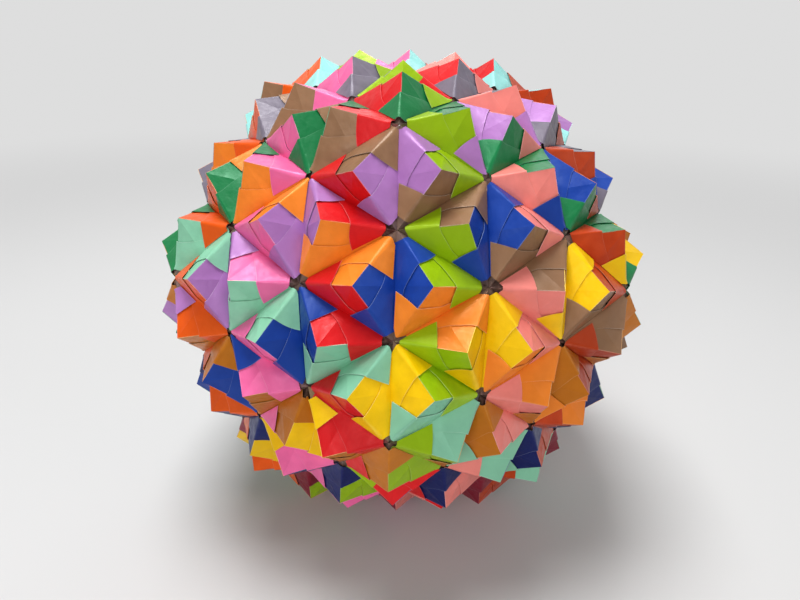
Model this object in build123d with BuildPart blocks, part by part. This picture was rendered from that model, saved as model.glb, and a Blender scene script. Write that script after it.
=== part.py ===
from build123d import *
import math
import os

# A ball of 270 folded paper units. Each unit spans one edge of a net of 180 triangles and
# rises into two flanks, one on each of the two points beside that edge. Three units close
# each point: a unit's cuff wraps over a ridge and lies on the next unit's flank.

# The net, as distances from the centre of the ball in millimetres
corner_reach = 106.0  # to the twelve corners where five points meet
edge_reach = 95.4  # to the two corners on each line between two of those twelve
middle_reach = 94.1  # to the corner in the middle of three of those twelve
edge_swing = 20.2  # degrees from a five-way corner to the next corner on such a line

# One point of the ball
peak_height = 13.2  # tip of a point above the plane of its three base corners
tip_gap = 1.8  # how far the paper stops short of each base corner, leaving a small hole

# The folded unit, whose flanks are thick at the fold and thin at the pocket
fold_stack = 0.9  # folded layers along the ridge where the unit starts
pocket_stack = 0.3  # folded layers under the next unit's cuff
slip = 0.06  # free space between one unit and the next
cuff_drop = 9.5  # from the tip of a point down the ridge to the cuff
cuff_reach = 16.4  # from a base corner along the base edge to the end of the cuff

# Each ring of fifteen units circles one five-way corner, and each girdle of fifteen lies
# midway between two opposite corners. All the units of one ring or girdle share a colour.
ring_colours = {
    "brown": "top_right",
    "lavender": "top_left",
    "ochre": "top_front",
    "lime": "upper_left",
    "red": "upper_right",
    "aqua": "upper_back",
    "green": "lower_front",
    "rust": "lower_right",
    "deep_orange": "lower_left",
    "mint": "bottom_left",
    "yellow": "bottom_right",
    "crimson": "bottom_back",
}
girdle_colours = {
    "orange": "top_right",
    "blue": "top_left",
    "navy": "top_front",
    "salmon": "upper_left",
    "hot_pink": "upper_right",
    "grey": "upper_back",
}

# The twelve corners seen about one of them, on +Z: a cap, two tiers of five and a foot
corner_angle = math.degrees(math.atan(2))  # between two neighbouring corners


def direction(tilt: float, turn: float) -> Vector:
    """Unit vector tilted from +Z by one angle and turned about it by another, in degrees."""
    return Vector(0, 0, 1).rotate(Axis.Y, tilt).rotate(Axis.Z, turn)


polar_corners = [direction(0, 0)]
polar_corners += [direction(corner_angle, 72 * k) for k in range(5)]
polar_corners += [direction(180 - corner_angle, 36 + 72 * k) for k in range(5)]
polar_corners += [direction(180, 0)]


def are_neighbours(a: Vector, b: Vector) -> bool:
    """Whether two of the twelve corners are one corner_angle apart."""
    return abs(a.get_angle(b) - corner_angle) < 1


# The net: every large triangle of three corners is divided into nine small ones. A base
# corner is named by its weights on the large corners, such as ((0, 2), (1, 1)).
divisions = 3


def base_corner(names: tuple[int, int, int], weights: tuple[int, int, int]) -> tuple:
    """Name of the base corner with the given weights on three large corners."""
    return tuple(sorted((n, w) for n, w in zip(names, weights) if w > 0))


def position(corner: tuple) -> Vector:
    """Where a base corner lies."""
    ends = [polar_corners[n] for n, _ in corner]
    if len(ends) == 1:
        return ends[0] * corner_reach
    if len(ends) == 3:
        return (ends[0] + ends[1] + ends[2]).normalized() * middle_reach
    swing = edge_swing if corner[0][1] > corner[1][1] else corner_angle - edge_swing
    near = ends[0] * math.sin(math.radians(corner_angle - swing))
    far = ends[1] * math.sin(math.radians(swing))
    return (near + far).normalized() * edge_reach


# third[(x, y)] is the last corner of the small triangle that has x, y anticlockwise
third = {}
for a in range(12):
    for b in range(12):
        for c in range(12):
            spots = [polar_corners[n] for n in (a, b, c)]
            sides_meet = all(are_neighbours(spots[i], spots[i - 1]) for i in range(3))
            if not sides_meet or spots[0].cross(spots[1]).dot(spots[2]) < 0 or a > min(b, c):
                continue
            for i in range(divisions):
                for j in range(divisions - i):
                    k = divisions - i - j
                    here = base_corner((a, b, c), (k, i, j))
                    right = base_corner((a, b, c), (k - 1, i + 1, j))
                    left = base_corner((a, b, c), (k - 1, i, j + 1))
                    small = [(here, right, left)]
                    if k > 1:
                        small.append((right, base_corner((a, b, c), (k - 2, i + 1, j + 1)), left))
                    for x, y, z in small:
                        third.update({(x, y): z, (y, z): x, (z, x): y})


def next_unit(x: tuple, y: tuple) -> tuple:
    """The unit that continues the straight band of paper beyond the unit x, y."""
    z = third[(x, y)]
    return third[(x, z)], z


# One point and its planes. A point stands left of the base edge x, y, which runs
# anticlockwise around it, and its flank on that edge is the flank x, y.
def plane_through(a: Vector, b: Vector, c: Vector) -> Plane:
    """Plane through three points, facing the side from which they run anticlockwise."""
    return Plane(origin=a, x_dir=b - a, z_dir=(b - a).cross(c - a))


def meet(first: Plane, second: Plane, last: Plane) -> Vector:
    """The point that three planes share."""
    pair = second.z_dir.cross(last.z_dir)
    total = pair * first.z_dir.dot(first.origin)
    total += last.z_dir.cross(first.z_dir) * second.z_dir.dot(second.origin)
    total += first.z_dir.cross(second.z_dir) * last.z_dir.dot(last.origin)
    return total * (1 / first.z_dir.dot(pair))


def tip(x: tuple, y: tuple) -> Vector:
    """Tip of the point that stands left of x, y."""
    base = [position(corner) for corner in (x, y, third[(x, y)])]
    ground = plane_through(*base)
    return (base[0] + base[1] + base[2]) * (1 / 3) + ground.z_dir * peak_height


def flank(x: tuple, y: tuple) -> Plane:
    """Inner face of the flank x, y, facing outwards."""
    return plane_through(position(x), position(y), tip(x, y))


def fold(edge_start: Vector, along: Vector, one: Plane, other: Plane) -> Plane:
    """Plane that halves the angle between two flanks at their shared edge."""
    return Plane(origin=edge_start, x_dir=along, z_dir=one.z_dir - other.z_dir)


def ridge(x: tuple, y: tuple) -> Plane:
    """Mitre of the ridge that rises from x, facing the flank x, y."""
    return fold(position(x), tip(x, y) - position(x), flank(x, y), flank(third[(x, y)], x))


def valley(x: tuple, y: tuple) -> Plane:
    """Mitre of the base edge x, y, facing the flank x, y."""
    return fold(position(x), position(y) - position(x), flank(y, x), flank(x, y))


def end_cut(x: tuple, y: tuple) -> Plane:
    """Plane across the base edge x, y where the paper stops short of x."""
    along = (position(y) - position(x)).normalized()
    return Plane(origin=position(x) + along * tip_gap, z_dir=along)


def outer_face(x: tuple, y: tuple) -> Plane:
    """Outside of the flank x, y: high along the ridge from x, low at y."""
    z = third[(x, y)]
    high = [flank(*edge).offset(fold_stack) for edge in ((x, y), (y, z), (z, x))]
    foot = Plane(origin=position(x), z_dir=tip(x, y) - position(x))
    low = position(y) + flank(x, y).z_dir * pocket_stack
    return plane_through(meet(high[0], high[2], foot), low, meet(*high))


def cuff(x: tuple, y: tuple) -> list[Vector]:
    """Corners of the cuff that folds over the ridge from x on to the flank z, x."""
    z = third[(x, y)]
    under = flank(z, x)
    bottom = outer_face(z, x).offset(slip)
    top = under.offset(fold_stack)
    crest = flank(x, y).offset(fold_stack)
    own_ridge = ridge(x, y)
    rim = valley(z, x).offset(slip)
    up_ridge = (tip(x, y) - position(x)).normalized()
    start = tip(x, y) - up_ridge * cuff_drop
    along_base = (position(z) - position(x)).normalized()
    end = position(x) + along_base * cuff_reach
    hem = plane_through(start, end, start + under.z_dir)
    outer_end, inner_end = meet(hem, top, rim), meet(hem, bottom, rim)
    selvedge = plane_through(outer_end, inner_end, position(x) + up_ridge * tip_gap)
    return [
        meet(hem, top, crest),
        meet(hem, bottom, own_ridge),
        outer_end,
        inner_end,
        meet(selvedge, top, crest),
        meet(selvedge, bottom, own_ridge),
    ]


def wing(x: tuple, y: tuple) -> list[Vector]:
    """Corners of the unit's plate on the flank x, y, which starts at the ridge from x."""
    z = third[(x, y)]
    inside, outside = flank(x, y), outer_face(x, y)
    own_ridge, next_ridge = ridge(x, y), fold(
        position(y), tip(x, y) - position(y), flank(x, y), flank(y, z)
    ).offset(slip)
    crease = valley(x, y)
    return [
        meet(inside, own_ridge, next_ridge),
        meet(outside, own_ridge, next_ridge),
        meet(inside, crease, end_cut(x, y)),
        meet(outside, crease, end_cut(x, y)),
        meet(inside, crease, end_cut(y, x)),
        meet(outside, crease, end_cut(y, x)),
        *cuff(x, y)[-2:],
    ]


def folded_unit(x: tuple, y: tuple) -> Part:
    """One folded sheet: two wings that meet in the valley, each with its cuff."""
    with BuildPart() as sheet:
        for edge in ((x, y), (y, x)):
            ConvexPolyhedron(wing(*edge))
            ConvexPolyhedron(cuff(*edge))
    return sheet.part


def band(x: tuple, y: tuple) -> Part:
    """Three units that follow each other from x, y, repeated five times about +Z."""
    units = []
    for _ in range(3):
        units.append(folded_unit(x, y))
        x, y = next_unit(x, y)
    with BuildPart() as strip:
        with PolarLocations(0, 5):
            for unit in units:
                add(unit)
    return strip.part


# The line of units from an upper to a lower corner of the two tiers starts a ring with its
# first unit and a girdle with its middle one.
upper = polar_corners.index(direction(corner_angle, 0))
lower = max(n for n in range(12) if are_neighbours(polar_corners[upper], polar_corners[n]))
ring = band(((upper, 3),), ((upper, 2), (lower, 1)))
girdle = band(((upper, 2), (lower, 1)), ((upper, 1), (lower, 2)))

# The ball as it rests, with the middle of three corners straight up. The front is at -Y.
top_tilt = math.degrees(math.acos(math.sqrt((5 + 2 * math.sqrt(5)) / 15)))
upper_tilt = math.degrees(math.acos(math.sqrt((5 - 2 * math.sqrt(5)) / 15)))
corners = {
    "top_front": direction(top_tilt, -90),
    "top_right": direction(top_tilt, 30),
    "top_left": direction(top_tilt, 150),
    "upper_right": direction(upper_tilt, -30),
    "upper_back": direction(upper_tilt, 90),
    "upper_left": direction(upper_tilt, 210),
    "lower_front": direction(180 - upper_tilt, -90),
    "lower_right": direction(180 - upper_tilt, 30),
    "lower_left": direction(180 - upper_tilt, 150),
    "bottom_right": direction(180 - top_tilt, -30),
    "bottom_back": direction(180 - top_tilt, 90),
    "bottom_left": direction(180 - top_tilt, 210),
}


def seat(corner: str) -> Location:
    """Turns a band made about +Z on to the axis of a named corner."""
    axis = corners[corner]
    beside = next(other for other in corners.values() if are_neighbours(axis, other))
    return Plane(origin=(0, 0, 0), x_dir=beside - axis * beside.dot(axis), z_dir=axis).location


os.makedirs("parts", exist_ok=True)
for name, form, colours in (("ring", ring, ring_colours), ("girdle", girdle, girdle_colours)):
    for colour, corner in colours.items():
        with BuildPart() as placed:
            with Locations(seat(corner)):
                add(form)
        placed.part.label = f"{colour}_{name}"
        export_step(placed.part, f"parts/{placed.part.label}.step")
        print(placed.part.label, len(placed.part.solids()), "units", round(placed.part.volume), "mm3")
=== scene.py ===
import logging
import math
import random
from dataclasses import dataclass, field
from enum import Enum
from itertools import permutations

import bpy
import numpy as np
from mathutils import Matrix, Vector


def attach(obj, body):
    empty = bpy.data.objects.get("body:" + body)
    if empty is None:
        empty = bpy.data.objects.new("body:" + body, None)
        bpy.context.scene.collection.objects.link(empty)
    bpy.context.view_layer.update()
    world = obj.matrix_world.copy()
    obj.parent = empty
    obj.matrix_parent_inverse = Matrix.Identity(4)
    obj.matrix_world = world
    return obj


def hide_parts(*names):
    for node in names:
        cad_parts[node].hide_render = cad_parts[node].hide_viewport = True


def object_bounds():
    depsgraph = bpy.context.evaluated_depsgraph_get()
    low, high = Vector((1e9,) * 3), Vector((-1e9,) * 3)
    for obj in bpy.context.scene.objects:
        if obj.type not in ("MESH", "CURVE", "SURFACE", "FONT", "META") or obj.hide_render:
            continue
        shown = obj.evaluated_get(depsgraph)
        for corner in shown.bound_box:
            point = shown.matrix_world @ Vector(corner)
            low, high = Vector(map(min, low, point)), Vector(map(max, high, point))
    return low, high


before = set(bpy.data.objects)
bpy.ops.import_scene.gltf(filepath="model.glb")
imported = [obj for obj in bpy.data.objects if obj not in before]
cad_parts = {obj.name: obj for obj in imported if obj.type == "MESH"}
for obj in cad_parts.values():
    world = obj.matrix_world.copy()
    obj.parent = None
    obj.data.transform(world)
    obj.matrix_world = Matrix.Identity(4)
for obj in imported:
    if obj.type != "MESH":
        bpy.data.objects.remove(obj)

CAD_BOX = [list(map(float, corner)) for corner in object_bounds()]
LOG = logging.getLogger("kusudama")

FIFTH = 72
"""Angle in degrees between two fifths of a circle."""

LARGE_ANGLE = math.degrees(math.atan(2))
"""Angle in degrees between two neighbouring large corners, seen from the centre."""

NEARLY = 0.01
"""How far two cosines may lie apart and still count as equal."""

TINY = 1e-15
"""Keeps a cell without area from a division by zero."""

Corner = tuple[tuple[int, int], ...]
"""A base corner of the ball, named by its weights on the twelve large corners."""

Array = np.ndarray
Colour = tuple[float, float, float]
Place = tuple[float, float, float]
Socket = bpy.types.NodeSocket


def unit(vector: Array) -> Array:
    """Vector scaled to length one, along its last axis."""
    return vector / np.linalg.norm(vector, axis=-1, keepdims=True)


def blend(start: Array, end: Array, share: Array | float) -> Array:
    """Point or points that divide the way from start to end."""
    share = np.asarray(share)[..., None]
    return start * (1 - share) + end * share


def along(start: Array, end: Array, reach: float) -> Array:
    """Point at a given distance from start on the way to end."""
    return blend(start, end, reach / np.linalg.norm(end - start))


def are_neighbours(one: Array, other: Array) -> bool:
    """Whether two directions lie as far apart as neighbouring large corners."""
    return bool(abs(one @ other - 1 / math.sqrt(5)) < NEARLY)


def linear(colour: Colour) -> tuple[float, float, float, float]:
    """Colour as seen on a screen, turned into the linear colour of a shader."""
    turned = [c / 12.92 if c <= 0.04045 else ((c + 0.055) / 1.055) ** 2.4 for c in colour]
    return (*turned, 1.0)


def put(made: bpy.types.Object, place: Place, right: Array, back: Array) -> None:
    """Puts a lamp or a camera into the scene.

    Args:
        made: the lamp or camera.
        place: where it goes.
        right: direction of its right side.
        back: direction of its back, against which it looks.
    """
    up = np.cross(back, right)
    turn = Matrix([[right[i], up[i], back[i]] for i in range(3)])
    made.matrix_world = Matrix.Translation(place) @ turn.to_4x4()
    bpy.context.scene.collection.objects.link(made)


@dataclass(frozen=True)
class Profile:
    """A strength that rises and falls along a way from 0 to 1."""

    stops: tuple[float, ...]
    values: tuple[float, ...]

    def at(self, share: Array) -> Array:
        """Strength at each share of the way."""
        return np.interp(share, self.stops, self.values)


class BandKind(Enum):
    """The two ways in which fifteen units follow each other round the ball."""

    RING = "ring"
    GIRDLE = "girdle"


@dataclass
class Net:
    """The 92 base corners of the ball and the 180 small triangles between them.

    One of the twelve large corners, where five points meet, is straight up. A reach is the
    distance of a corner from the centre.
    """

    corner_reach: float = 0.106  # of a large corner
    edge_reach: float = 0.0954  # of a corner between two large ones
    middle_reach: float = 0.0941  # of a corner amid three large ones
    edge_swing: float = 20.2  # degrees from a large corner to the next one on an edge
    divisions: int = 3  # small edges along a large one
    large_corners: list[Array] = field(init=False)
    third: dict[tuple[Corner, Corner], Corner] = field(init=False)

    def __post_init__(self) -> None:
        """Places the large corners and joins the small triangles."""
        self.large_corners = [self.direction(0, 0)]
        self.large_corners += [self.direction(LARGE_ANGLE, FIFTH * k) for k in range(5)]
        self.large_corners += [self.direction(180 - LARGE_ANGLE, FIFTH * (k + 0.5)) for k in range(5)]
        self.large_corners += [self.direction(180, 0)]
        self.third = {}
        for a, b, c in permutations(range(len(self.large_corners)), 3):
            if a < min(b, c) and self.is_large_triangle(a, b, c):
                self.divide(a, b, c)

    @staticmethod
    def direction(tilt: float, turn: float) -> Array:
        """Unit vector tilted from +Z and then turned about it.

        Args:
            tilt: angle from +Z in degrees.
            turn: angle about it in degrees.

        Returns:
            The vector.
        """
        tilt, turn = math.radians(tilt), math.radians(turn)
        level = math.sin(tilt)
        return np.array([level * math.cos(turn), level * math.sin(turn), math.cos(tilt)])

    def is_large_triangle(self, a: int, b: int, c: int) -> bool:
        """Whether three large corners are neighbours and run anticlockwise.

        Args:
            a: first large corner.
            b: second large corner.
            c: third large corner.

        Returns:
            True for a large triangle seen from outside.
        """
        spots = [self.large_corners[n] for n in (a, b, c)]
        near = all(are_neighbours(spots[i], spots[i - 1]) for i in range(3))
        return near and np.cross(spots[0], spots[1]) @ spots[2] > 0

    @staticmethod
    def base_corner(names: tuple[int, int, int], weights: tuple[int, int, int]) -> Corner:
        """Name of the base corner with the given weights on three large corners."""
        return tuple(sorted((n, w) for n, w in zip(names, weights) if w > 0))

    def divide(self, a: int, b: int, c: int) -> None:
        """Adds the nine small triangles of one large one.

        Args:
            a: first large corner.
            b: second large corner, anticlockwise from the first.
            c: third large corner.
        """
        names = (a, b, c)
        for i in range(self.divisions):
            for j in range(self.divisions - i):
                k = self.divisions - i - j
                here = self.base_corner(names, (k, i, j))
                right = self.base_corner(names, (k - 1, i + 1, j))
                left = self.base_corner(names, (k - 1, i, j + 1))
                small = [(here, right, left)]
                if k > 1:
                    small.append((right, self.base_corner(names, (k - 2, i + 1, j + 1)), left))
                for x, y, z in small:
                    self.third.update({(x, y): z, (y, z): x, (z, x): y})

    def position(self, corner: Corner) -> Array:
        """Finds where a base corner lies.

        Args:
            corner: name of the base corner.

        Returns:
            Its place, with the first large corner straight up.
        """
        ends = [self.large_corners[n] for n, _ in corner]
        if len(ends) == 1:
            return ends[0] * self.corner_reach
        if len(ends) == 3:
            return unit(ends[0] + ends[1] + ends[2]) * self.middle_reach
        swing = self.edge_swing if corner[0][1] > corner[1][1] else LARGE_ANGLE - self.edge_swing
        near = ends[0] * math.sin(math.radians(LARGE_ANGLE - swing))
        far = ends[1] * math.sin(math.radians(swing))
        return unit(near + far) * self.edge_reach

    def next_edge(self, x: Corner, y: Corner) -> tuple[Corner, Corner]:
        """The edge whose unit continues the straight band of paper beyond x, y."""
        z = self.third[(x, y)]
        return self.third[(x, z)], z

    def band_edges(self, kind: BandKind) -> list[tuple[Corner, Corner]]:
        """The three edges of one fifth of a ring or girdle about +Z.

        Args:
            kind: which of the two bands.

        Returns:
            Edges that follow each other, as pairs of base corners.
        """
        # Two neighbouring large corners, one of the five below the top and one of the next five
        upper, lower = 1, 10
        if kind is BandKind.RING:
            edge = (((upper, 3),), ((upper, 2), (lower, 1)))
        else:
            edge = (((upper, 2), (lower, 1)), ((upper, 1), (lower, 2)))
        edges = []
        for _ in range(self.divisions):
            edges.append(edge)
            edge = self.next_edge(*edge)
        return edges


@dataclass(frozen=True)
class Flank:
    """One of the three sloping sides of a point, between its tip and a base edge."""

    tip: Array
    start: Array
    end: Array

    @property
    def normal(self) -> Array:
        """Direction in which the flank faces."""
        return unit(np.cross(self.end - self.start, self.tip - self.start))

    def spot(self, u: Array | float, v: Array | float, lift: Array | float) -> Array:
        """Points above the flank.

        Args:
            u: share of the way from the tip towards the start corner.
            v: share of the way from the tip towards the end corner.
            lift: height above the flank in metres.

        Returns:
            One point for each u and v.
        """
        u, v = np.asarray(u, float), np.asarray(v, float)
        flat = self.tip + u[..., None] * (self.start - self.tip) + v[..., None] * (self.end - self.tip)
        return flat + np.broadcast_to(lift, u.shape)[..., None] * self.normal

    def base(self, share: Array) -> Array:
        """Points on the base edge, from the start corner to the end corner."""
        return blend(self.start, self.end, share)


@dataclass(frozen=True)
class Side:
    """The flanks that one side of a folded unit touches."""

    own: Flank  # the flank of its belt
    beside: Flank  # the flank of its cuff, over the ridge
    below: Array  # normal of the flank across the base edge of own
    under_cuff: Array  # normal of the flank across the base edge of beside


def raised(spots: Array, one: Array, other: Array,
           lift_one: Array | float, lift_other: Array | float) -> Array:
    """Where two layers meet above a line that their two flanks share.

    Args:
        spots: points on the shared line.
        one: normal of the first flank.
        other: normal of the second flank.
        lift_one: height of the layer on the first flank.
        lift_other: height of the layer on the second flank.

    Returns:
        Points on both layers at once.
    """
    lean = float(one @ other)
    lift_one = np.broadcast_to(lift_one, spots.shape[:-1])[..., None]
    lift_other = np.broadcast_to(lift_other, spots.shape[:-1])[..., None]
    along_one = (lift_one - lean * lift_other) / (1 - lean * lean)
    along_other = (lift_other - lean * lift_one) / (1 - lean * lean)
    return spots + along_one * one + along_other * other


@dataclass
class PaperMesh:
    """Collects layers of paper, each a grid of points, into one mesh."""

    thickness: float = 0.00016  # thickness of the paper
    sharp_angle: float = 32.0  # angle in degrees from which a fold is shaded as a sharp edge
    margin_paleness: float = 0.42  # paleness of the strip along a cut edge, beside that of the edge
    points: list[Array] = field(default_factory=list)
    faces: list[list[int]] = field(default_factory=list)
    bare: list[float] = field(default_factory=list)
    tucked: list[float] = field(default_factory=list)
    tone: list[float] = field(default_factory=list)
    crease: list[Array] = field(default_factory=list)
    count: int = 0

    def lay(self, grid: Array, tone: float, tucked: float = 0.0,
            margins: tuple[bool, bool, bool, bool] = (False, False, False, False),
            crease: Array | None = None, paleness: float = 0.8) -> None:
        """Adds one layer of paper as a closed thin slab.

        Args:
            grid: rows and columns of points on its outside, facing the viewer with the
                rows running up and the columns running to the right.
            tone: shade of this sheet, from 0 to 1.
            tucked: 1 for paper that lies deep inside a hole, which is painted in shade.
            margins: whether the first row, last row, first column and last column of
                cells are pale strips along a cut edge.
            crease: how much each point lies on a fold, from 0 to 1.
            paleness: how pale its cut edges are, from 0 to 1.
        """
        across = np.gradient(grid, axis=1)
        up = np.gradient(grid, axis=0)
        inside = grid - unit(np.cross(across, up) + TINY) * self.thickness
        self.points += [grid.reshape(-1, 3), inside.reshape(-1, 3)]
        rows, columns = grid.shape[:2]
        top = np.arange(rows * columns).reshape(rows, columns) + self.count
        self.count += 2 * top.size
        folds = np.zeros(top.shape) if crease is None else crease
        self.crease += [folds.reshape(-1), np.zeros(top.size)]
        pale = np.zeros((rows - 1, columns - 1))
        for edge, place in zip(margins, (np.s_[0, :], np.s_[-1, :], np.s_[:, 0], np.s_[:, -1])):
            if edge:
                pale[place] = self.margin_paleness * paleness
        faces = self.slab_faces(top, top + top.size)
        self.faces += faces.tolist()
        self.bare += pale.reshape(-1).tolist() + [paleness] * (len(faces) - pale.size)
        self.tucked += [tucked] * len(faces)
        self.tone += [tone] * len(faces)

    @staticmethod
    def slab_faces(top: Array, under: Array) -> Array:
        """Faces that close the slab between two grids of points.

        Args:
            top: numbers of the points on its outside.
            under: numbers of the points on its inside.

        Returns:
            Four numbers for each face: first those outside, then inside, then at the rim.
        """
        outside = np.stack([top[:-1, :-1], top[:-1, 1:], top[1:, 1:], top[1:, :-1]], axis=-1)
        inside = np.stack([under[:-1, :-1], under[1:, :-1], under[1:, 1:], under[:-1, 1:]], axis=-1)
        rim = [
            (top[0, 1:], top[0, :-1], under[0, :-1], under[0, 1:]),
            (top[-1, :-1], top[-1, 1:], under[-1, 1:], under[-1, :-1]),
            (top[:-1, 0], top[1:, 0], under[1:, 0], under[:-1, 0]),
            (top[1:, -1], top[:-1, -1], under[:-1, -1], under[1:, -1]),
        ]
        sides = [np.stack(side, axis=-1) for side in rim]
        return np.concatenate([outside.reshape(-1, 4), inside.reshape(-1, 4), *sides])

    def to_object(self, name: str) -> bpy.types.Object:
        """Makes a Blender object of all the layers.

        Args:
            name: name of the object and its mesh.

        Returns:
            The new object, at the origin and linked to the scene.
        """
        mesh = bpy.data.meshes.new(name)
        mesh.from_pydata(np.concatenate(self.points).tolist(), [], self.faces)
        for label, values in (("bare", self.bare), ("tucked", self.tucked), ("tone", self.tone)):
            mesh.attributes.new(label, "FLOAT", "FACE").data.foreach_set("value", values)
        folds = np.concatenate(self.crease)
        mesh.attributes.new("crease", "FLOAT", "POINT").data.foreach_set("value", folds)
        mesh.shade_smooth()
        mesh.set_sharp_from_angle(angle=math.radians(self.sharp_angle))
        made = bpy.data.objects.new(name, mesh)
        bpy.context.scene.collection.objects.link(made)
        return made


@dataclass(frozen=True)
class Temper:
    """How one side of one folded unit differs from the next, since hands folded it."""

    shade: float  # tone of the unit's paper
    cuff_start: float  # upper end of the cuff, as a share of the ridge from the tip
    cuff_end: float  # lower end of the cuff's cut edge, as a share of the base edge
    slit_end: float  # far end of the slit, as a share from the tip to the start corner
    slit_kink: float  # how far the slit sags on its way
    bulge: float  # how far the cuff's cut edge curves outwards
    bow: float  # how far the belt swells off its flank
    lift: float  # how far the cuff and the slit stand up
    crown: float  # height of the crease in the cap
    gap: float  # how far from the corner the fold over the ridge ends
    clear: float  # how far the cuff stays clear of the valley
    roundness: float  # radius of the fold over the ridge, beside the usual one
    wear: float  # how pale that fold is rubbed
    edge_paleness: float  # how pale the cut edges are
    foot: float  # how far the belt stays clear of the corner along the valley

    @classmethod
    def draw(cls, chance: random.Random, shade: float) -> "Temper":
        """Draws the differences at random.

        Args:
            chance: source of the random numbers.
            shade: tone of the unit's paper.

        Returns:
            The differences of one side.
        """
        return cls(
            shade=shade,
            cuff_start=0.375 + chance.uniform(-0.018, 0.018),
            cuff_end=0.435 + chance.uniform(-0.024, 0.020),
            slit_end=0.245 + chance.uniform(-0.022, 0.016),
            slit_kink=chance.uniform(0.0001, 0.0009),
            bulge=chance.uniform(-0.0002, 0.0006),
            bow=chance.uniform(0.00010, 0.00070),
            lift=chance.uniform(0.00002, 0.00022),
            crown=chance.uniform(0.0010, 0.0017),
            gap=chance.uniform(0.0020, 0.0040),
            clear=chance.uniform(0.0002, 0.0013),
            roundness=chance.uniform(0.5, 1.3),
            wear=max(0.0, chance.uniform(-0.9, 1.0)),
            edge_paleness=chance.uniform(0.3, 1.0),
            foot=chance.uniform(0.0021, 0.0042),
        )


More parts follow.
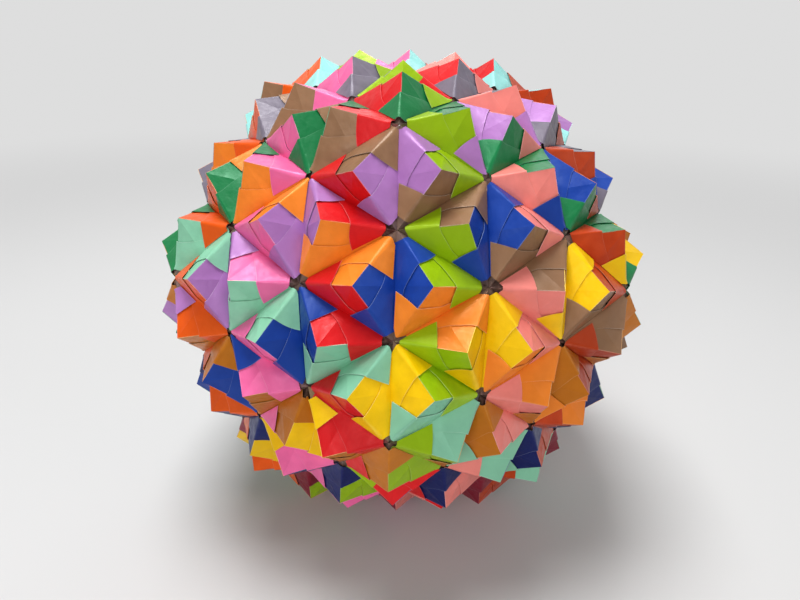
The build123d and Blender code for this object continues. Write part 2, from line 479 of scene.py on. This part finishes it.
@dataclass
class FoldedUnit:
    """One folded sheet over one edge of the net, built as the layers that show.

    Each of its two sides has a belt on its own flank, which folds over the ridge into a
    cuff on the flank beside it. The upper edge of the belt is an open slit. Inside the slit
    lies the cap, an inner layer that closes the tip, with a crease down its middle. A lift is
    the height of a layer's outside above the bare flank.
    """

    net: Net
    mesh: PaperMesh
    turn: Array
    # The whole unit
    peak_height: float = 0.0132
    margin: float = 0.00026
    shrink: float = 0.9945
    corner_sway: float = 0.0004
    corner_pitch: float = 0.071
    tip_sway: float = 0.0005
    tip_pitch: float = 0.029
    hole_sway: float = 0.30
    hole_pitch: float = 0.034
    # Rows of a panel, as shares of the way from the corner or valley up to the slit
    panel_rows: tuple[float, ...] = (0, 0.06, 0.16, 0.34, 0.52, 0.7, 0.86, 0.96, 0.982, 1)
    corner_zone: float = 0.16
    # The fold over the ridge
    fold_columns: int = 7
    fold_radius_end: float = 0.0011
    fold_radius_corner: float = 0.0020
    fold_radius_slit: float = 0.0008
    # The belt, its columns from the ridge on, and the paper tucked under it in the valley
    belt_lift: float = 0.00132
    belt_low: float = 0.00098
    belt_high: float = 0.00100
    belt_end: float = 0.00088
    belt_feet: tuple[float, ...] = (0.15, 0.24, 0.35, 0.47, 0.60, 0.75, 0.89)
    belt_foot_limit: float = 0.135
    bow_columns: int = 6
    tuck_lift: float = 0.00095
    tuck_depth: float = 0.0026
    # The slit
    slit_columns: tuple[float, ...] = (0.07, 0.2, 0.36, 0.5, 0.62, 0.78, 0.9, 1)
    slit_reach: float = 0.54
    slit_sag: Profile = Profile((0, 0.6, 1), (0, 1, 0.1))
    slit_rise: Profile = Profile((0, 0.4, 0.8, 1), (0, 1, 0.3, 0))
    slit_over_cap: Profile = Profile((0, 0.58, 0.86, 1), (0, 1, 0.08, 0))
    slit_crown_share: float = 0.9
    slit_sheets: float = 1.6
    # The cuff
    cuff_lift: float = 0.00152
    cuff_high: float = 0.00122
    cuff_over_belt: float = 0.00008
    cuff_columns_at: tuple[float, ...] = (0.36, 0.5, 0.66, 0.82, 0.94, 0.982, 1)
    cuff_clear_least: float = 0.35
    cuff_root_spread: float = 0.03
    cuff_press: float = 0.00020
    cuff_pressed: Profile = Profile((0, 0.25, 0.6, 0.9, 1), (0, 0.4, 1, 0.6, 0))
    # The cap, with places as shares from the tip to the start and to the end corner
    cap_rows: tuple[float, ...] = (0.008, 0.3, 0.6, 0.85, 1)
    cap_low: float = 0.00050
    cap_start: float = 0.43
    cap_end: float = 0.425
    cap_near: tuple[float, float] = (0.385, 0.19)
    cap_knee: tuple[float, float] = (0.335, 0.335)
    cap_dip: tuple[float, float] = (0.30, 0.56)
    cap_far: tuple[float, float] = (0.14, 0.48)
    cap_dip_depth: float = 0.00015
    cap_overlap: float = 0.0001
    cap_fill: float = 0.00025
    cap_filled: Profile = Profile((0, 0.3, 0.85, 1), (0, 0.6, 1, 0))
    cap_margin_growth: float = 3
    tip_lift: float = 0.00084
    # The tucked paper in the hole
    star_lift: float = 0.00040
    star_reaches: tuple[float, float, float] = (0.0003, 0.0026, 0.0066)

    @staticmethod
    def sway(place: Array, reach: float, pitch: float) -> Array:
        """Small shift that differs from place to place, as hands never fold quite evenly.

        Args:
            place: a place on the ball.
            reach: largest shift along each axis.
            pitch: length of the waves of the shift.

        Returns:
            The shift at that place.
        """
        waves = np.array([[1.0, 0.37, -0.61], [-0.43, 1.0, 0.29], [0.53, -0.71, 1.0]])
        phases = np.array([0.4, 1.9, 3.3])
        return reach * np.sin(waves @ place * (2 * math.pi / pitch) + phases)

    def position(self, corner: Corner) -> Array:
        """Where a base corner of this unit lies on the ball."""
        place = self.turn @ self.net.position(corner) * self.shrink
        return place + self.sway(place, self.corner_sway, self.corner_pitch)

    def tip(self, x: Corner, y: Corner) -> Array:
        """Finds the tip of the point that stands left of x, y.

        Args:
            x: base corner at one end of an edge.
            y: base corner at its other end.

        Returns:
            The tip's place.
        """
        base = [self.position(corner) for corner in (x, y, self.net.third[(x, y)])]
        ground = unit(np.cross(base[1] - base[0], base[2] - base[0]))
        place = sum(base) / 3 + ground * self.peak_height * self.shrink
        return place + self.sway(place, self.tip_sway, self.tip_pitch)

    def flank(self, x: Corner, y: Corner) -> Flank:
        """The flank that stands left of x, y."""
        return Flank(self.tip(x, y), self.position(x), self.position(y))

    def side(self, x: Corner, y: Corner) -> Side:
        """Finds the flanks that the belt from x towards y and its cuff touch.

        Args:
            x: base corner where the belt starts.
            y: base corner towards which it runs.

        Returns:
            The flanks.
        """
        z = self.net.third[(x, y)]
        own, beside = self.flank(x, y), self.flank(z, x)
        return Side(own, beside, self.flank(y, x).normal, self.flank(x, z).normal)

    def build(self, x: Corner, y: Corner, chance: random.Random) -> None:
        """Adds every layer of the unit on the edge x, y.

        Args:
            x: base corner at one end of the unit's middle fold.
            y: base corner at its other end.
            chance: source of the small differences between units.
        """
        shade = chance.random()
        for start, end in ((x, y), (y, x)):
            temper = Temper.draw(chance, shade)
            side = self.side(start, end)
            self.lay_belt(side, temper)
            self.lay_cap(start, end, temper)
            self.lay_star(side, shade)

    def lay_belt(self, side: Side, temper: Temper) -> None:
        """Adds the belt, its fold over the ridge, its cuff and the paper tucked in the valley.

        Args:
            side: the flanks that it lies on.
            temper: small differences of this side.
        """
        own = side.own
        opening = 1 - float(self.sway(own.start, self.hole_sway, self.hole_pitch)[2])
        fold, reach = self.fold_over(side, temper, opening)
        foot = temper.foot * opening / np.linalg.norm(own.end - own.start)
        foot = min(self.belt_foot_limit, foot)
        low = np.array([foot, *self.belt_feet])
        lift = self.belt_lift + (self.belt_low - self.belt_lift) * low
        valley = raised(own.base(low), own.normal, side.below, lift, self.tuck_lift)
        belt = self.spread_belt(own, valley, temper, reach)
        cuff = self.spread_cuff(side, fold[0][-1], foot, temper, reach)
        grid = np.stack(cuff[::-1] + fold + belt, axis=1)
        crease = np.zeros(grid.shape[:2])
        crease[:, len(cuff) + len(fold) // 2] = temper.wear
        margins = (False, True, True, False)
        self.mesh.lay(grid, temper.shade, 0.0, margins, crease, temper.edge_paleness)
        climb = unit(np.cross(side.below, own.start - own.end))
        tucked = own.base(low) + self.tuck_depth * climb + side.below * self.tuck_lift
        self.mesh.lay(np.stack([tucked, valley]), temper.shade)

    def fold_over(self, side: Side, temper: Temper, opening: float) -> tuple[list[Array], Array]:
        """Rounds the paper over the ridge, from its free end near the corner to the slit.

        Args:
            side: the flanks on both sides of the ridge.
            temper: small differences of this side.
            opening: width of the hole at the corner, beside the usual one.

        Returns:
            Columns of points from the cuff to the belt, and how far the fold reaches on to
            each flank in each row.
        """
        own, beside = side.own, side.beside
        rows = np.array(self.panel_rows)
        ridge_end = along(own.start, own.tip, temper.gap * opening)
        ridge_slit = blend(own.tip, own.start, temper.cuff_start)
        stations = blend(ridge_end, ridge_slit, rows)
        radii = (self.fold_radius_end, self.fold_radius_corner, self.fold_radius_slit)
        radius = np.interp(rows, (0, self.corner_zone, 1), radii)[:, None] * temper.roundness
        radius[0] = min(radius[0, 0], self.fold_radius_end)
        belt_lifts = self.belt_lift + (self.belt_high - self.belt_lift) * rows
        cuff_lifts = self.cuff_lift + (self.cuff_high - self.cuff_lift) * rows
        crest = raised(stations, own.normal, beside.normal, belt_lifts, cuff_lifts)
        half = unit(own.normal + beside.normal)
        centre = crest - half * radius / float(half @ own.normal)
        turn = math.acos(float(own.normal @ beside.normal))
        columns = []
        for step in np.linspace(0, 1, self.fold_columns):
            facing = math.sin((1 - step) * turn) * beside.normal + math.sin(step * turn) * own.normal
            columns.append(centre + radius * facing / math.sin(turn))
        return columns, radius[:, 0] * math.tan(turn / 2)

    def spread_belt(self, own: Flank, valley: Array, temper: Temper,
                    reach: Array) -> list[Array]:
        """Spreads the belt over its own flank, column by column away from the ridge.

        Args:
            own: the flank that it lies on.
            valley: the foot of each column.
            temper: small differences of this side.
            reach: how far the rounded fold reaches on to the flank in each row.

        Returns:
            Columns of points from the valley up to the slit.
        """
        rows, share = np.array(self.panel_rows), np.array(self.slit_columns)
        cap = self.tip_lift + self.slit_crown_share * (temper.crown - self.tip_lift)
        over_cap = cap + self.slit_sheets * self.mesh.thickness - self.belt_end
        lift = self.belt_high + (self.belt_end - self.belt_high) * share
        lift = lift + over_cap * self.slit_over_cap.at(share) + temper.lift * self.slit_rise.at(share)
        down = temper.cuff_start + (temper.slit_end - temper.cuff_start) * share
        fall = unit((own.start + own.end) / 2 - own.tip)
        sag = self.slit_sag.at(share) * temper.slit_kink
        slit = own.spot(down, self.slit_reach * share, lift) + fall * sag[:, None]
        columns = []
        for j, foot in enumerate(valley):
            strength = max(0.0, math.sin(math.pi * (j + 1) / self.bow_columns))
            bow = temper.bow * np.sin(math.pi * rows) * strength
            columns.append(blend(foot, slit[j], rows) + bow[:, None] * own.normal)
        aside = np.cross(unit(own.tip - own.start), own.normal)
        return self.clear_of_fold(columns, own.start, aside, reach)

    def spread_cuff(self, side: Side, root: Array, foot: float, temper: Temper,
                    reach: Array) -> list[Array]:
        """Spreads the cuff over the flank beside, column by column away from the ridge.

        Args:
            side: the flanks on both sides of the ridge.
            root: upper end of the fold, where the cut edge starts.
            foot: share of the base edge from the corner to the first column.
            temper: small differences of this side.
            reach: how far the rounded fold reaches on to the flank in each row.

        Returns:
            Columns of points from the valley up to the root, the last along the cut edge.
        """
        beside, rows = side.beside, np.array(self.panel_rows)
        share = np.array([foot / temper.cuff_end, *self.cuff_columns_at])
        shore = beside.base(1 - share * temper.cuff_end)
        over_belt = self.belt_lift + self.cuff_over_belt
        rim = raised(shore, beside.normal, side.under_cuff, self.cuff_lift, over_belt)
        climb = unit(beside.tip - (beside.start + beside.end) / 2)
        clear = temper.clear * (self.cuff_clear_least + (1 - self.cuff_clear_least) * share)
        rim = rim + climb * clear[:, None]
        outward = np.cross(beside.normal, unit(root - rim[-1]))
        columns = []
        for j, part in enumerate(share):
            top = root + (rim[-1] - root) * self.cuff_root_spread * part
            bulge = temper.bulge * np.sin(math.pi * rows) * part ** 2
            lift = temper.lift * np.sin(math.pi * rows) * part
            lift = lift - self.cuff_press * self.cuff_pressed.at(rows) * part ** 3
            column = blend(rim[j], top, rows) + bulge[:, None] * outward + lift[:, None] * beside.normal
            columns.append(column)
        aside = np.cross(beside.normal, unit(beside.tip - beside.end))
        return self.clear_of_fold(columns, beside.end, aside, reach - rows * reach[-1])

    def clear_of_fold(self, columns: list[Array], corner: Array, aside: Array,
                      reach: Array) -> list[Array]:
        """Moves the columns of a panel aside, so that they leave room for its rounded fold.

        Args:
            columns: columns of points on the panel, the last the farthest from the ridge.
            corner: base corner at the foot of the ridge.
            aside: direction in the flank that leads away from the ridge.
            reach: how far the rounded fold reaches on to the flank in each row.

        Returns:
            The columns in their new places.
        """
        whole = (columns[-1] - corner) @ aside
        weight = np.minimum(1, np.array(self.panel_rows) / self.corner_zone)
        moved = []
        for column in columns:
            away = (column - corner) @ aside
            shift = weight * reach * np.clip(1 - away / whole, 0, 1)
            moved.append(column + shift[:, None] * aside)
        return moved

    def lay_cap(self, x: Corner, y: Corner, temper: Temper) -> None:
        """Adds the inner layer of the flank x, y, as two facets that meet in a crease.

        Args:
            x: base corner where the unit's belt starts.
            y: base corner whose cuff covers the far side.
            temper: small differences of this side.
        """
        z = self.net.third[(x, y)]
        own, before, after = self.flank(x, y), self.flank(z, x), self.flank(y, z)
        axis = unit(np.cross(own.end - own.start, self.position(z) - own.start))
        summit = own.tip + axis * self.tip_lift / float(axis @ own.normal)
        low = self.cap_low
        start_ridge = blend(own.tip, own.start, self.cap_start)
        start_ridge = raised(start_ridge, own.normal, before.normal, low, low)
        end_ridge = blend(own.tip, own.end, self.cap_end)
        end_ridge = raised(end_ridge, own.normal, after.normal, low, low)
        overlap = unit(np.cross(own.normal, own.end - own.tip))
        end_ridge = end_ridge + overlap * self.cap_overlap
        near = own.spot(*self.cap_near, (low + temper.crown) / 2)
        knee = own.spot(*self.cap_knee, temper.crown)
        dip = own.spot(*self.cap_dip, low - self.cap_dip_depth)
        far = own.spot(*self.cap_far, low)
        rows = np.array(self.cap_rows)
        first = np.stack([blend(summit, foot, rows) for foot in (start_ridge, near, knee)], axis=1)
        second = np.stack([blend(summit, foot, rows) for foot in (knee, dip, far, end_ridge)], axis=1)
        fill = self.cap_fill * self.cap_filled.at(rows)
        second[:, 1:3] += fill[:, None, None] * own.normal
        strip = overlap * self.margin * np.minimum(1, rows * self.cap_margin_growth)[:, None]
        edge = second[:, -1:]
        second = np.concatenate([second[:, :-1], edge - strip[:, None], edge], axis=1)
        self.mesh.lay(first[::-1], temper.shade)
        self.mesh.lay(second[::-1], temper.shade, margins=(False, False, False, True))

    def lay_star(self, side: Side, shade: float) -> None:
        """Adds the tucked paper that shows in the hole at the corner where the belt starts.

        Args:
            side: the flanks next to the hole.
            shade: tone of the unit's paper.
        """
        own, beside, lift = side.own, side.beside, self.star_lift
        rows = []
        for reach in self.star_reaches:
            left = along(beside.end, beside.start, reach)
            ridge = along(own.start, own.tip, reach)
            right = along(own.start, own.end, reach)
            rows.append([
                raised(left, beside.normal, side.under_cuff, lift, lift),
                raised(ridge, own.normal, beside.normal, lift, lift),
                raised(right, own.normal, side.below, lift, lift),
            ])
        # The tucked paper takes the painted shade of the holes
        self.mesh.lay(np.array(rows), shade, tucked=1.0)


@dataclass(frozen=True)
class Cloud:
    """Soft noise over the ball, spread over a range of values."""

    scale: float
    detail: float
    low: float
    high: float


@dataclass(frozen=True)
class Relief:
    """Fine relief of a surface that follows a cloud."""

    cloud: Cloud
    strength: float
    distance: float


@dataclass(frozen=True)
class ShaderTree:
    """Adds nodes to the tree of a material or world and joins them."""

    tree: bpy.types.NodeTree
    noise_low: float = 0.3  # nearly all noise lies between this
    noise_high: float = 0.7  # and this

    def add(self, kind: str) -> bpy.types.Node:
        """Adds a node of a kind."""
        return self.tree.nodes.new(kind)

    def feed(self, socket: Socket, value: object) -> None:
        """Joins a socket to another one, or gives it a fixed value.

        Args:
            socket: the input that is fed.
            value: an output of another node, or a fixed value.
        """
        if isinstance(value, Socket):
            self.tree.links.new(value, socket)
        else:
            socket.default_value = value

    def read(self, label: str) -> Socket:
        """Reads a value that the mesh keeps.

        Args:
            label: name of the value.

        Returns:
            The output that gives it.
        """
        node = self.add("ShaderNodeAttribute")
        node.attribute_name = label
        return node.outputs["Fac"]

    def spread(self, cloud: Cloud) -> Socket:
        """Adds a cloud.

        Args:
            cloud: its scale, detail and range.

        Returns:
            The output that gives its value at each place.
        """
        noise = self.add("ShaderNodeTexNoise")
        noise.inputs["Scale"].default_value = cloud.scale
        noise.inputs["Detail"].default_value = cloud.detail
        self.feed(noise.inputs["Vector"], self.add("ShaderNodeTexCoord").outputs["Object"])
        node = self.add("ShaderNodeMapRange")
        node.inputs["From Min"].default_value = self.noise_low
        node.inputs["From Max"].default_value = self.noise_high
        node.inputs["To Min"].default_value = cloud.low
        node.inputs["To Max"].default_value = cloud.high
        self.feed(node.inputs["Value"], noise.outputs["Fac"])
        return node.outputs["Result"]

    def mix(self, share: Socket, one: object, other: object) -> Socket:
        """Mixes two colours.

        Args:
            share: how much of the second there is.
            one: output or value of the first colour.
            other: output or value of the second colour.

        Returns:
            The output that gives the mixture.
        """
        node = self.add("ShaderNodeMix")
        node.data_type = "RGBA"
        self.feed(node.inputs["Factor"], share)
        for label, value in (("A", one), ("B", other)):
            socket = next(s for s in node.inputs if s.name == label and s.type == "RGBA")
            self.feed(socket, value)
        return next(s for s in node.outputs if s.type == "RGBA")

    def mix_surfaces(self, share: Socket, one: Socket, other: Socket) -> Socket:
        """Mixes two surfaces.

        Args:
            share: how much of the second there is.
            one: the first surface.
            other: the second surface.

        Returns:
            The output that gives the mixture.
        """
        node = self.add("ShaderNodeMixShader")
        self.feed(node.inputs["Fac"], share)
        self.feed(node.inputs[1], one)
        self.feed(node.inputs[2], other)
        return node.outputs["Shader"]

    def combine(self, operation: str, one: Socket, other: object) -> Socket:
        """Calculates with two values.

        Args:
            operation: what is done with them.
            one: output of the first value.
            other: output of the second, or a fixed number.

        Returns:
            The output that gives the result.
        """
        node = self.add("ShaderNodeMath")
        node.operation = operation
        self.feed(node.inputs[0], one)
        self.feed(node.inputs[1], other)
        return node.outputs[0]

    def emboss(self, relief: Relief, under: Socket | None) -> Socket:
        """Adds a relief to a surface.

        Args:
            relief: the relief.
            under: direction of the surface under it, if it has a relief too.

        Returns:
            The output that gives the direction of the surface.
        """
        node = self.add("ShaderNodeBump")
        node.inputs["Strength"].default_value = relief.strength
        node.inputs["Distance"].default_value = relief.distance
        self.feed(node.inputs["Height"], self.spread(relief.cloud))
        if under is not None:
            self.feed(node.inputs["Normal"], under)
        return node.outputs["Normal"]

    def sees_background(self) -> Socket:
        """Tells where the pale background is seen, mirrored or seen through.

        Returns:
            The output of a value that is 1 there.
        """
        rays = self.add("ShaderNodeLightPath").outputs
        value = rays["Is Camera Ray"]
        for label in ("Is Glossy Ray", "Is Transmission Ray"):
            value = self.combine("MAXIMUM", value, rays[label])
        return value


@dataclass(frozen=True)
class PaperFinish:
    """Thin satin paper dyed on its outside, pale at its cut edges and on its reverse.

    The shades from dark to sheen are pairs: the share of the colour, and the white added.
    """

    name: str
    colour: Colour
    dark: tuple[float, float] = (0.93, 0.0)
    bright: tuple[float, float] = (0.96, 0.04)
    deep: tuple[float, float] = (0.86, 0.0)
    worn: tuple[float, float] = (0.62, 0.36)
    pale: tuple[float, float] = (0.45, 0.53)
    sheen: tuple[float, float] = (0.55, 0.45)
    tone_share: float = 0.7
    # Painted shade: the pale reverse of the paper deep in the holes, painted dim brown-grey as it looks
    # in shadow
    painted_hole_shade_light: Colour = (0.52, 0.42, 0.38)
    painted_hole_shade_dark: Colour = (0.24, 0.17, 0.15)
    painted_hole_shade_cloud: Cloud = Cloud(700, 4, 0.5, 1.6)
    blotch_cloud: Cloud = Cloud(160, 3, 0.0, 1.0)
    wear_cloud: Cloud = Cloud(900, 4, 0.0, 0.45)
    edge_cloud: Cloud = Cloud(700, 3, 0.55, 1.0)
    roughness_cloud: Cloud = Cloud(420, 4, 0.30, 0.49)
    fibres: Relief = Relief(Cloud(1500, 3, 0.0, 1.0), 0.12, 0.00006)
    waves: Relief = Relief(Cloud(210, 2, 0.0, 1.0), 0.26, 0.0004)
    ior: float = 1.5
    specular: float = 0.8

    def shade(self, kind: tuple[float, float]) -> tuple[float, float, float, float]:
        """One of the shades of the colour, for a shader."""
        share, white = kind
        return linear(tuple(c * share + white for c in self.colour))

    def material(self) -> bpy.types.Material:
        """Builds the node material.

        Returns:
            A material that reads the bare, tucked, tone and crease values of the mesh.
        """
        made = bpy.data.materials.new(self.name)
        made.use_nodes = True
        tree = ShaderTree(made.node_tree)
        # Painted shade on the tucked paper in the holes, darker where the tone and a cloud say
        depth = tree.combine("MULTIPLY", tree.read("tone"), tree.spread(self.painted_hole_shade_cloud))
        painted_hole_shade = tree.mix(depth, linear(self.painted_hole_shade_light), linear(self.painted_hole_shade_dark))
        dyed = tree.mix(tree.spread(self.blotch_cloud), self.shade(self.dark), self.shade(self.bright))
        tone = tree.combine("MULTIPLY", tree.read("tone"), self.tone_share)
        sheets = tree.mix(tone, dyed, self.shade(self.deep))
        wear = tree.combine("MULTIPLY", tree.read("crease"), tree.spread(self.wear_cloud))
        folds = tree.mix(wear, sheets, self.shade(self.worn))
        bare = tree.combine("MULTIPLY", tree.read("bare"), tree.spread(self.edge_cloud))
        edges = tree.mix(bare, folds, self.shade(self.pale))
        shader = made.node_tree.nodes["Principled BSDF"]
        tree.feed(shader.inputs["Base Color"], tree.mix(tree.read("tucked"), edges, painted_hole_shade))
        tree.feed(shader.inputs["Roughness"], tree.spread(self.roughness_cloud))
        fibres = tree.emboss(self.fibres, None)
        tree.feed(shader.inputs["Normal"], tree.emboss(self.waves, fibres))
        shader.inputs["IOR"].default_value = self.ior
        shader.inputs["Specular IOR Level"].default_value = self.specular
        shader.inputs["Specular Tint"].default_value = self.shade(self.sheen)
        return made


@dataclass(frozen=True)
class Band:
    """Fifteen units of one colour that follow each other round the ball."""

    finish: PaperFinish
    kind: BandKind
    axis: Array
    large_corners: list[Array]
    seed: int

    @property
    def node(self) -> str:
        """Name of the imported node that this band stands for."""
        return f"{self.finish.name.removesuffix('_paper')}_{self.kind.value}"

    def seat(self) -> Array:
        """Rotation that carries a band about +Z on to its axis.

        Returns:
            A three by three rotation matrix.
        """
        beside = next(corner for corner in self.large_corners if are_neighbours(corner, self.axis))
        first = unit(beside - self.axis * (beside @ self.axis))
        return np.stack([first, np.cross(self.axis, first), self.axis], axis=1)

    def build(self, net: Net) -> bpy.types.Object:
        """Builds the band, dresses it and ties it to the frame.

        Args:
            net: the net of the ball.

        Returns:
            The Blender object of the band.
        """
        chance = random.Random(self.seed)
        mesh = PaperMesh()
        for fifth in range(5):
            turn = math.radians(FIFTH * fifth)
            cosine, sine = math.cos(turn), math.sin(turn)
            spin = np.array([[cosine, -sine, 0], [sine, cosine, 0], [0, 0, 1]])
            maker = FoldedUnit(net, mesh, self.seat() @ spin)
            for x, y in net.band_edges(self.kind):
                maker.build(x, y, chance)
        made = mesh.to_object(f"{self.node}_folds")
        made.data.materials.append(self.finish.material())
        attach(made, "root")
        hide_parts(self.node)
        return made


@dataclass
class Ball:
    """The whole ball, as the eighteen bands that cross each other all over it.

    Each band has the name of its paper, a large corner on its axis, and its colour as seen on a
    screen. The bands of a kind take the seeds of their random draws from the kind's seed on.
    """

    net: Net = field(default_factory=Net)
    rings: dict[str, tuple[str, Colour]] = field(default_factory=lambda: {
        "brown": ("top_right", (0.55, 0.40, 0.28)),
        "lavender": ("top_left", (0.70, 0.47, 0.75)),
        "ochre": ("top_front", (0.78, 0.44, 0.04)),
        "lime": ("upper_left", (0.60, 0.75, 0.03)),
        "red": ("upper_right", (0.89, 0.08, 0.10)),
        "aqua": ("upper_back", (0.62, 0.92, 0.90)),
        "green": ("lower_front", (0.04, 0.45, 0.23)),
        "rust": ("lower_right", (0.73, 0.21, 0.02)),
        "deep_orange": ("lower_left", (0.95, 0.35, 0.04)),
        "mint": ("bottom_left", (0.55, 0.82, 0.68)),
        "yellow": ("bottom_right", (1.00, 0.80, 0.00)),
        "crimson": ("bottom_back", (0.52, 0.05, 0.16)),
    })
    girdles: dict[str, tuple[str, Colour]] = field(default_factory=lambda: {
        "orange": ("top_right", (0.98, 0.53, 0.14)),
        "blue": ("top_left", (0.07, 0.23, 0.61)),
        "navy": ("top_front", (0.02, 0.08, 0.36)),
        "salmon": ("upper_left", (0.98, 0.54, 0.50)),
        "hot_pink": ("upper_right", (0.98, 0.42, 0.66)),
        "grey": ("upper_back", (0.44, 0.41, 0.47)),
    })
    ring_seed: int = 100
    girdle_seed: int = 200

    def large_corners(self) -> dict[str, Array]:
        """Directions of the twelve large corners as the ball rests, with the front at -Y.

        Returns:
            Each corner's unit vector, by its name.
        """
        top = math.degrees(math.acos(math.sqrt((5 + 2 * math.sqrt(5)) / 15)))
        upper = math.degrees(math.acos(math.sqrt((5 - 2 * math.sqrt(5)) / 15)))
        ahead = {"front": -90, "right": 30, "left": 150}
        behind = {"right": -30, "back": 90, "left": 210}
        tiers = {
            "top": (top, ahead),
            "upper": (upper, behind),
            "lower": (180 - upper, ahead),
            "bottom": (180 - top, behind),
        }
        return {
            f"{tier}_{side}": Net.direction(tilt, turn)
            for tier, (tilt, sides) in tiers.items()
            for side, turn in sides.items()
        }

    def build(self) -> None:
        """Builds all the bands and reports each."""
        corners = self.large_corners()
        makers = ((BandKind.RING, self.rings, self.ring_seed),
                  (BandKind.GIRDLE, self.girdles, self.girdle_seed))
        meshes = []
        for kind, places, seed in makers:
            for number, (name, (corner, colour)) in enumerate(places.items()):
                finish = PaperFinish(f"{name}_paper", colour)
                band = Band(finish, kind, corners[corner], list(corners.values()), seed + number)
                made = band.build(self.net)
                meshes.append(made.data)
                LOG.info("%s: %d faces", made.name, len(made.data.polygons))
        self.settle(meshes)

    @staticmethod
    def settle(meshes: list[bpy.types.Mesh]) -> None:
        """Lowers the ball until its lowest tips stand on the floor.

        Args:
            meshes: the meshes of all the bands.
        """
        heights = [np.empty(3 * len(mesh.vertices)) for mesh in meshes]
        for mesh, values in zip(meshes, heights):
            mesh.vertices.foreach_get("co", values)
        drop = CAD_BOX[0][2] - min(values[2::3].min() for values in heights)
        for mesh, values in zip(meshes, heights):
            values[2::3] += drop
            mesh.vertices.foreach_set("co", values)
            mesh.update()


@dataclass(frozen=True)
class Lamp:
    """A square lamp that faces the ball, with its side in metres and its power in watts."""

    name: str
    place: Place
    side: float
    power: float

    def hang(self) -> None:
        """Adds the lamp to the scene."""
        light = bpy.data.lights.new(self.name, "AREA")
        light.size = self.side
        light.energy = self.power
        back = unit(np.array(self.place))
        right = unit(np.cross((0, 0, 1), back))
        put(bpy.data.objects.new(self.name, light), self.place, right, back)


@dataclass
class Studio:
    """A pale floor, soft lamps and the camera at the photograph's angle.

    The floor fades into the background between two distances from the ball. The lens and the
    sensor are in millimetres. The camera sees from a nearest distance on.
    """

    floor_size: float = 12.0
    floor_colour: Colour = (0.82, 0.82, 0.82)
    floor_roughness: float = 0.9
    background: Colour = (0.87, 0.87, 0.87)
    fade_start: float = 0.35
    fade_end: float = 1.1
    room_light: float = 0.16
    lamps: tuple[Lamp, ...] = (
        Lamp("key_lamp", (-0.16, 0.00, 1.05), 0.50, 12.5),
        Lamp("front_lamp", (-0.40, -1.90, 0.75), 1.1, 17.0),
        Lamp("side_lamp", (1.3, -0.5, 0.6), 1.2, 4.0),
        Lamp("back_lamp", (0.1, 1.2, 0.9), 1.0, 4.0),
    )
    camera_place: Place = (0.01039, -0.31759, 0.12673)
    camera_right: Place = (0.99900, 0.04222, 0.01458)
    camera_back: Place = (0.03307, -0.91863, 0.39373)
    lens: float = 32.28
    sensor: float = 36.0
    nearest: float = 0.01

    def lay_floor(self, height: float) -> None:
        """Lays the floor.

        Args:
            height: where its top lies.
        """
        half = self.floor_size / 2
        mesh = bpy.data.meshes.new("floor")
        around = ((-half, -half), (half, -half), (half, half), (-half, half))
        mesh.from_pydata([(*spot, height) for spot in around], [], [(0, 1, 2, 3)])
        floor = bpy.data.objects.new("floor", mesh)
        bpy.context.scene.collection.objects.link(floor)
        cloth = bpy.data.materials.new("pale_floor")
        cloth.use_nodes = True
        shader = cloth.node_tree.nodes["Principled BSDF"]
        shader.inputs["Base Color"].default_value = linear(self.floor_colour)
        shader.inputs["Roughness"].default_value = self.floor_roughness
        self.fade(cloth, shader)
        mesh.materials.append(cloth)

    def fade(self, cloth: bpy.types.Material, shader: bpy.types.Node) -> None:
        """Lets the far floor pass into an even pale background.

        Args:
            cloth: the floor's material.
            shader: its lit surface.
        """
        tree = ShaderTree(cloth.node_tree)
        distance = tree.add("ShaderNodeVectorMath")
        distance.operation = "LENGTH"
        tree.feed(distance.inputs[0], tree.add("ShaderNodeTexCoord").outputs["Object"])
        ramp = tree.add("ShaderNodeMapRange")
        ramp.interpolation_type = "SMOOTHSTEP"
        ramp.inputs["From Min"].default_value = self.fade_start
        ramp.inputs["From Max"].default_value = self.fade_end
        tree.feed(ramp.inputs["Value"], distance.outputs["Value"])
        share = tree.combine("MULTIPLY", ramp.outputs["Result"], tree.sees_background())
        glow = tree.add("ShaderNodeEmission")
        glow.inputs["Color"].default_value = linear(self.background)
        surface = tree.mix_surfaces(share, shader.outputs["BSDF"], glow.outputs["Emission"])
        tree.feed(cloth.node_tree.nodes["Material Output"].inputs["Surface"], surface)

    def fill_room(self) -> None:
        """Sets the even light of the room and the pale background behind the floor."""
        world = bpy.data.worlds.new("room")
        bpy.context.scene.world = world
        world.use_nodes = True
        tree = ShaderTree(world.node_tree)
        room = world.node_tree.nodes["Background"]
        room.inputs["Color"].default_value = (1, 1, 1, 1)
        room.inputs["Strength"].default_value = self.room_light
        behind = tree.add("ShaderNodeBackground")
        behind.inputs["Color"].default_value = linear(self.background)
        share = tree.sees_background()
        surface = tree.mix_surfaces(share, room.outputs["Background"], behind.outputs["Background"])
        tree.feed(world.node_tree.nodes["World Output"].inputs["Surface"], surface)

    def aim_camera(self) -> None:
        """Sets the camera where the photograph was taken from."""
        lens = bpy.data.cameras.new("camera")
        lens.lens = self.lens
        lens.sensor_width = self.sensor
        lens.clip_start = self.nearest
        camera = bpy.data.objects.new("camera", lens)
        right, back = unit(np.array(self.camera_right)), unit(np.array(self.camera_back))
        put(camera, self.camera_place, right, back)
        bpy.context.scene.camera = camera

    def build(self) -> None:
        """Builds the floor, the lamps, the light of the room and the camera."""
        self.lay_floor(CAD_BOX[0][2])
        for lamp in self.lamps:
            lamp.hang()
        self.fill_room()
        self.aim_camera()
        bpy.context.scene.view_settings.view_transform = "Standard"


def main() -> None:
    """Builds the ball and the studio."""
    logging.basicConfig(level=logging.INFO, format="%(name)s: %(message)s")
    Ball().build()
    Studio().build()


if __name__ == "__main__":
    main()
